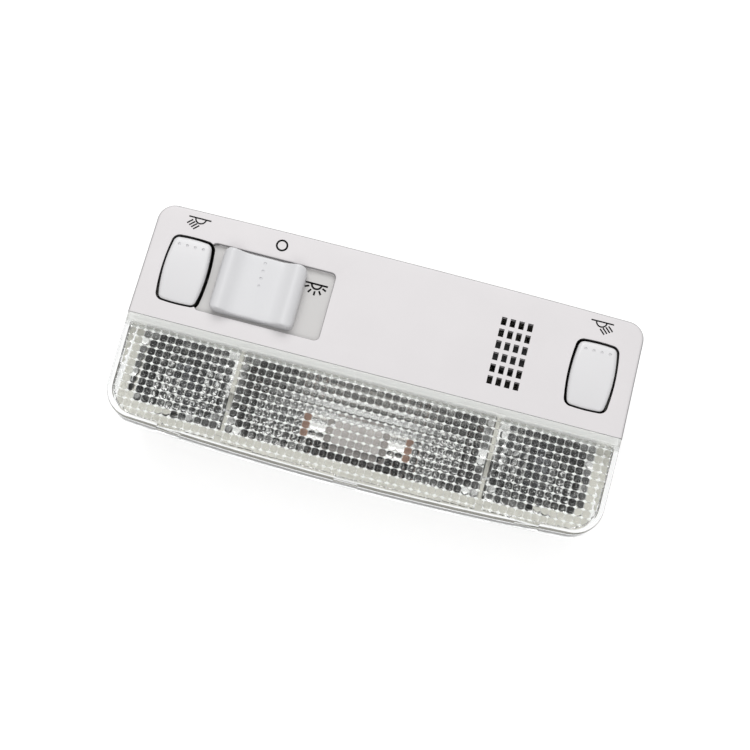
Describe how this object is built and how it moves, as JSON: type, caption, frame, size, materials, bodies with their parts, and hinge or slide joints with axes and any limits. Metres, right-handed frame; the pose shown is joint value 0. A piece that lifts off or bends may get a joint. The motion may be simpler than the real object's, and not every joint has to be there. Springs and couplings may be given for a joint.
{
  "type": "car interior reading light",
  "caption": "Overhead car interior light with a grey switch face, rocker and slide switches, a vent grille and a clear cell lens over reflector bowls and bulbs.",
  "frame": {"origin": "middle of the box of the whole unit, on the plane of its rear rim, lying on its back", "axes": "+X along the unit, +Y towards the switch side, +Z out of the face"},
  "size_m": [0.2, 0.0929, 0.0431],
  "materials": {
    "face_grey": "satin moulded",
    "switch_white": "smooth satin",
    "lens_clear": "clear, pillow cells inside",
    "carrier_cream": "matt moulded",
    "reflector_silver": "metallised",
    "bulb_clear": "clear",
    "cap_metal": "bright",
    "contact_copper": "copper alloy strip",
    "conductor_tinned": "tinned strip",
    "filament_wire": "drawn wire",
    "holder_dark": "matt moulded",
    "spring_steel": "rolled",
    "boot_rubber": "matt",
    "screw_zinc": "zinc plated"
  },
  "bodies": {
    "chassis": {"front_bezel": "face_grey", "lens": "lens_clear", "base": "carrier_cream", "left_reflector": "reflector_silver", "centre_reflector": "reflector_silver", "right_reflector": "reflector_silver", "slide_terminals": "contact_copper", "left_rocker_contact": "contact_copper", "right_rocker_contact": "contact_copper", "festoon_glass": "bulb_clear", "festoon_caps": "cap_metal", "festoon_filament": "filament_wire", "left_festoon_clip": "contact_copper", "right_festoon_clip": "contact_copper", "left_bulb_glass": "bulb_clear", "right_bulb_glass": "bulb_clear", "left_bulb_filament": "filament_wire", "right_bulb_filament": "filament_wire", "left_bulb_socket": "holder_dark", "right_bulb_socket": "holder_dark", "supply_strip": "conductor_tinned", "ground_strip": "conductor_tinned", "lamp_strip": "conductor_tinned", "connector_shroud": "holder_dark", "connector_pins": "conductor_tinned", "left_retaining_spring": "spring_steel", "right_retaining_spring": "spring_steel", "microphone_boot": "boot_rubber", "microphone_capsule": "cap_metal", "base_screws": "screw_zinc"},
    "left_switch": {"left_rocker": "switch_white"},
    "right_switch": {"right_rocker": "switch_white"},
    "slide_switch": {"slide_knob": "switch_white", "slide_carrier": "holder_dark", "slide_contact": "contact_copper"}
  },
  "joints": [
    {"name": "left_rocker_hinge", "type": "hinge", "parent": "chassis", "child": "left_switch", "pos_m": [-0.0829, 0.0197, 0.032], "axis": [1, 0, 0], "range_deg": [-9, 0]},
    {"name": "right_rocker_hinge", "type": "hinge", "parent": "chassis", "child": "right_switch", "pos_m": [0.0829, 0.0197, 0.032], "axis": [1, 0, 0], "range_deg": [-9, 0]},
    {"name": "slide_switch_travel", "type": "slide", "parent": "chassis", "child": "slide_switch", "axis": [1, 0, 0], "range_m": [0, 0.0081]}
  ]
}
